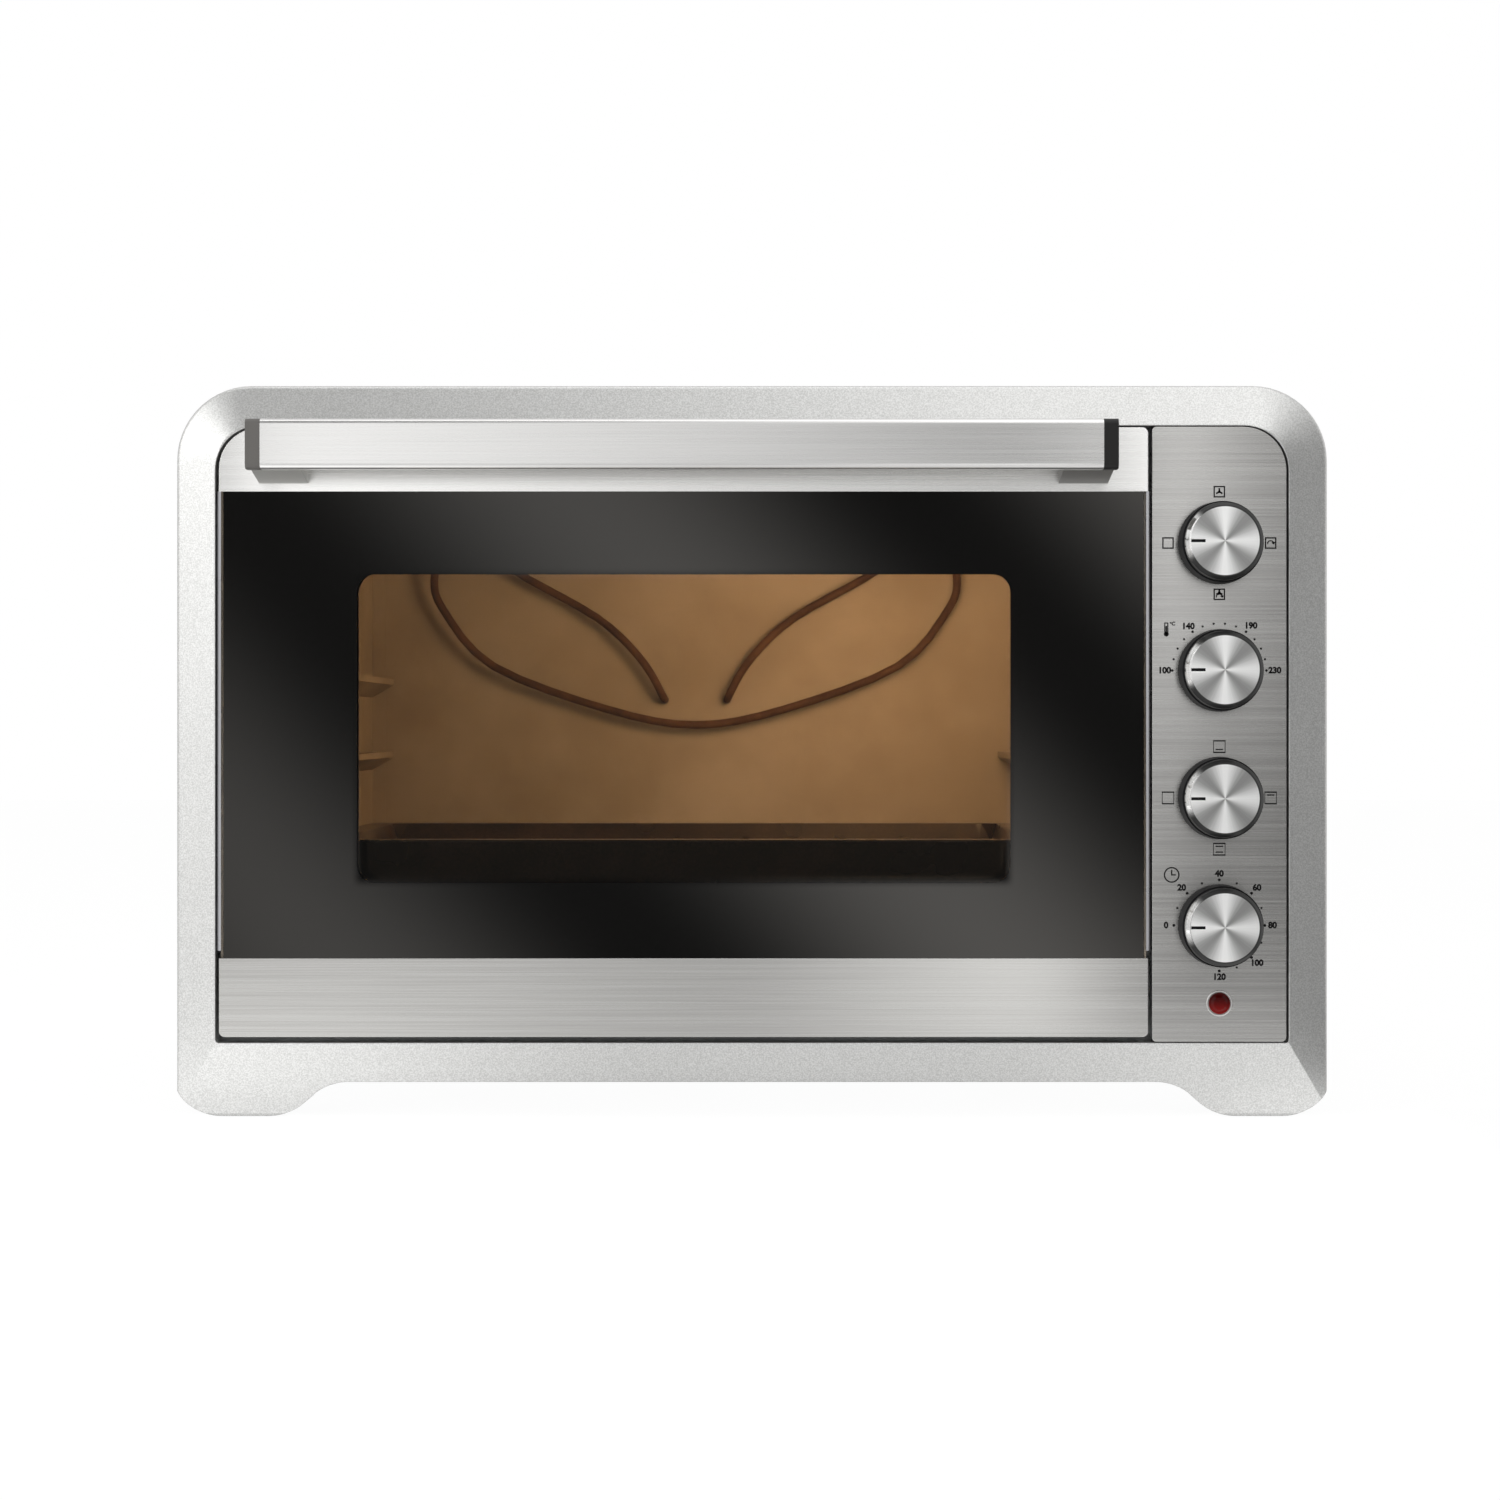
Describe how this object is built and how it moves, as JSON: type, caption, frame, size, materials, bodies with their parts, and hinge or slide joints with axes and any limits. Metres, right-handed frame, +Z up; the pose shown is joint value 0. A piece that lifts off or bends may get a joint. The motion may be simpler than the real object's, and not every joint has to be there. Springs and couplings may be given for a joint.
{
  "type": "electric countertop oven",
  "caption": "Box oven for a counter with a glass door that drops open on a low hinge, a bar handle, and a side panel of round knobs.",
  "frame": {"origin": "on the counter under the middle of the overall box", "axes": "+X to the right seen from the front, +Y from the door to the back, +Z up"},
  "size_m": [0.6, 0.445, 0.3814],
  "materials": {
    "frame_paint": "silver paint with a fine sand texture",
    "case_paint": "silver grey paint, satin",
    "zinc_sheet": "zinc coated sheet, dull",
    "cavity_sheet": "dull coated sheet",
    "heater_tube": "oxidised heater tube, matt",
    "ceramic": "pale ceramic",
    "lamp_glass": "clear",
    "motor_steel": "plain steel",
    "brushed_panel": "brushed across",
    "brushed_trim": "brushed across",
    "brushed_bar": "brushed along the bar",
    "bright_steel": "bright",
    "spun_metal": "spun in rings about the knob",
    "red_lens": "translucent red",
    "rubber_black": "matt",
    "black_plastic": "black, half gloss",
    "grey_plastic": "grey, satin",
    "tinted_glass": "dark border round a clear bronze window",
    "clear_glass": "clear",
    "dark_enamel": "dark enamel, half gloss"
  },
  "bodies": {
    "cabinet": {"front_frame": "frame_paint", "outer_shell": "case_paint", "back_panel": "zinc_sheet", "base_plate": "zinc_sheet", "front_plate": "zinc_sheet", "cavity_ceiling": "cavity_sheet", "cavity_floor": "cavity_sheet", "cavity_back_wall": "cavity_sheet", "cavity_left_wall": "cavity_sheet", "cavity_right_wall": "cavity_sheet", "heat_shield": "zinc_sheet", "heater_rods": "heater_tube", "rear_heater": "heater_tube", "heater_insulators": "ceramic", "lamp_holder": "ceramic", "lamp_glass": "lamp_glass", "fan_motor": "motor_steel", "spit_motor": "motor_steel", "spit_bracket": "zinc_sheet", "control_panel": "brushed_panel", "control_bracket": "zinc_sheet", "function_switch": "ceramic", "thermostat": "motor_steel", "heat_switch": "ceramic", "timer": "motor_steel", "indicator_lens": "red_lens", "indicator_body": "ceramic", "hinge_brackets": "zinc_sheet", "hinge_pins": "bright_steel", "hinge_springs": "bright_steel", "rear_feet": "rubber_black", "front_foot_pads": "rubber_black", "cord_gland": "black_plastic", "casing_screws": "bright_steel"},
    "door": {"door_pan": "zinc_sheet", "door_glass": "tinted_glass", "inner_glass": "clear_glass", "door_top_trim": "brushed_trim", "door_bottom_trim": "brushed_trim", "door_side_trims": "bright_steel", "glass_clips": "zinc_sheet", "handle_bar": "brushed_bar", "handle_end_caps": "grey_plastic", "handle_posts": "grey_plastic", "handle_screws": "bright_steel"},
    "function_control": {"function_knob": "black_plastic", "function_knob_cap": "spun_metal", "function_shaft": "bright_steel"},
    "thermostat_control": {"thermostat_knob": "black_plastic", "thermostat_knob_cap": "spun_metal", "thermostat_shaft": "bright_steel"},
    "heat_control": {"heat_knob": "black_plastic", "heat_knob_cap": "spun_metal", "heat_shaft": "bright_steel"},
    "timer_control": {"timer_knob": "black_plastic", "timer_knob_cap": "spun_metal", "timer_shaft": "bright_steel"},
    "fan": {"fan_wheel": "motor_steel"},
    "spit_drive": {"spit_socket": "motor_steel"},
    "tray": {"baking_tray": "dark_enamel"}
  },
  "joints": [
    {"name": "door_hinge", "type": "hinge", "parent": "cabinet", "child": "door", "pos_m": [-0.0355, -0.1755, 0.053], "axis": [1, 0, 0], "range_deg": [0, 90], "stiffness_Nm_per_rad": 1, "springref_deg": -85.94, "deforming": ["hinge_springs"]},
    {"name": "function_turn", "type": "hinge", "parent": "cabinet", "child": "function_control", "pos_m": [0.2423, -0.1825, 0.29883], "axis": [0, 1, 0], "range_deg": [0, 270]},
    {"name": "thermostat_turn", "type": "hinge", "parent": "cabinet", "child": "thermostat_control", "pos_m": [0.2423, -0.1825, 0.23274], "axis": [0, 1, 0], "range_deg": [0, 180]},
    {"name": "heat_turn", "type": "hinge", "parent": "cabinet", "child": "heat_control", "pos_m": [0.2423, -0.1825, 0.16666], "axis": [0, 1, 0], "range_deg": [0, 270]},
    {"name": "timer_turn", "type": "hinge", "parent": "cabinet", "child": "timer_control", "pos_m": [0.2423, -0.1825, 0.10057], "axis": [0, 1, 0], "range_deg": [0, 270]},
    {"name": "fan_spin", "type": "hinge", "parent": "cabinet", "child": "fan", "pos_m": [0.1805, 0.1165, 0.24201], "axis": [1, 0, 0], "continuous": true},
    {"name": "spit_turn", "type": "hinge", "parent": "cabinet", "child": "spit_drive", "pos_m": [0.1705, 0.00134, 0.205], "axis": [1, 0, 0], "continuous": true},
    {"name": "tray_slide", "type": "slide", "parent": "cabinet", "child": "tray", "axis": [0, 1, 0], "range_m": [-0.008, 0.022]}
  ]
}
